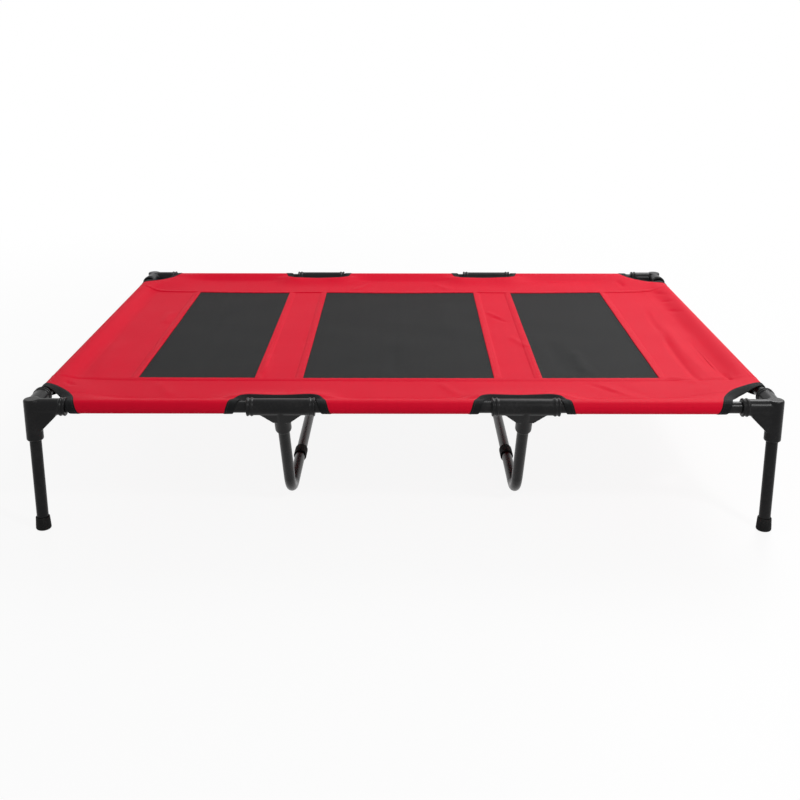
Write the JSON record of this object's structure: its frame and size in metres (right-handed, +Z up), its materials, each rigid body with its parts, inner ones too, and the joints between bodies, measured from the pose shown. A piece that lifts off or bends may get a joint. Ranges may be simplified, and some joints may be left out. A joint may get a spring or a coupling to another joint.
{
  "type": "raised dog cot",
  "caption": "Low raised dog bed: a knock-down frame of black tubes and plastic connectors, with floor supports, that carries a sewn bed of red cloth and dark mesh.",
  "frame": {"origin": "on the floor, under the middle of the bed", "axes": "+X along the bed's length to the right, +Y from the front to the back, +Z up"},
  "size_m": [1.219, 0.914, 0.229],
  "materials": {
    "black_steel": "gloss",
    "black_plastic": "satin",
    "black_rubber": "matte",
    "red_cloth": "satin",
    "grey_mesh": "matte",
    "black_tape": "matte"
  },
  "bodies": {
    "frame": {"corner_connector_front_left": "black_plastic", "corner_connector_front_right": "black_plastic", "corner_connector_back_left": "black_plastic", "corner_connector_back_right": "black_plastic", "tee_connector_front_left": "black_plastic", "tee_connector_front_right": "black_plastic", "tee_connector_back_left": "black_plastic", "tee_connector_back_right": "black_plastic", "rail_front_left": "black_steel", "rail_front_middle": "black_steel", "rail_front_right": "black_steel", "rail_back_left": "black_steel", "rail_back_middle": "black_steel", "rail_back_right": "black_steel", "end_rail_left": "black_steel", "end_rail_right": "black_steel", "support_tube_left": "black_steel", "support_tube_right": "black_steel", "floor_glide_front_left": "black_rubber", "floor_glide_front_right": "black_rubber", "floor_glide_back_left": "black_rubber", "floor_glide_back_right": "black_rubber", "side_strip_front": "red_cloth", "side_strip_back": "red_cloth", "end_strip_left": "red_cloth", "end_strip_right": "red_cloth", "cross_band_left": "red_cloth", "cross_band_right": "red_cloth", "mesh_panel_left": "grey_mesh", "mesh_panel_middle": "grey_mesh", "mesh_panel_right": "grey_mesh", "corner_binding_front_left": "black_tape", "corner_binding_front_right": "black_tape", "corner_binding_back_left": "black_tape", "corner_binding_back_right": "black_tape", "tee_binding_front_left": "black_tape", "tee_binding_front_right": "black_tape", "tee_binding_back_left": "black_tape", "tee_binding_back_right": "black_tape"},
    "front_left_leg": {"leg_front_left": "black_steel", "foot_cap_front_left": "black_rubber"},
    "front_right_leg": {"leg_front_right": "black_steel", "foot_cap_front_right": "black_rubber"},
    "back_left_leg": {"leg_back_left": "black_steel", "foot_cap_back_left": "black_rubber"},
    "back_right_leg": {"leg_back_right": "black_steel", "foot_cap_back_right": "black_rubber"}
  },
  "joints": [
    {"name": "front_left_leg_pull", "type": "slide", "parent": "frame", "child": "front_left_leg", "axis": [0, 0, -1], "range_m": [0, 0.06]},
    {"name": "front_right_leg_pull", "type": "slide", "parent": "frame", "child": "front_right_leg", "axis": [0, 0, -1], "range_m": [0, 0.06]},
    {"name": "back_left_leg_pull", "type": "slide", "parent": "frame", "child": "back_left_leg", "axis": [0, 0, -1], "range_m": [0, 0.06]},
    {"name": "back_right_leg_pull", "type": "slide", "parent": "frame", "child": "back_right_leg", "axis": [0, 0, -1], "range_m": [0, 0.06]}
  ]
}
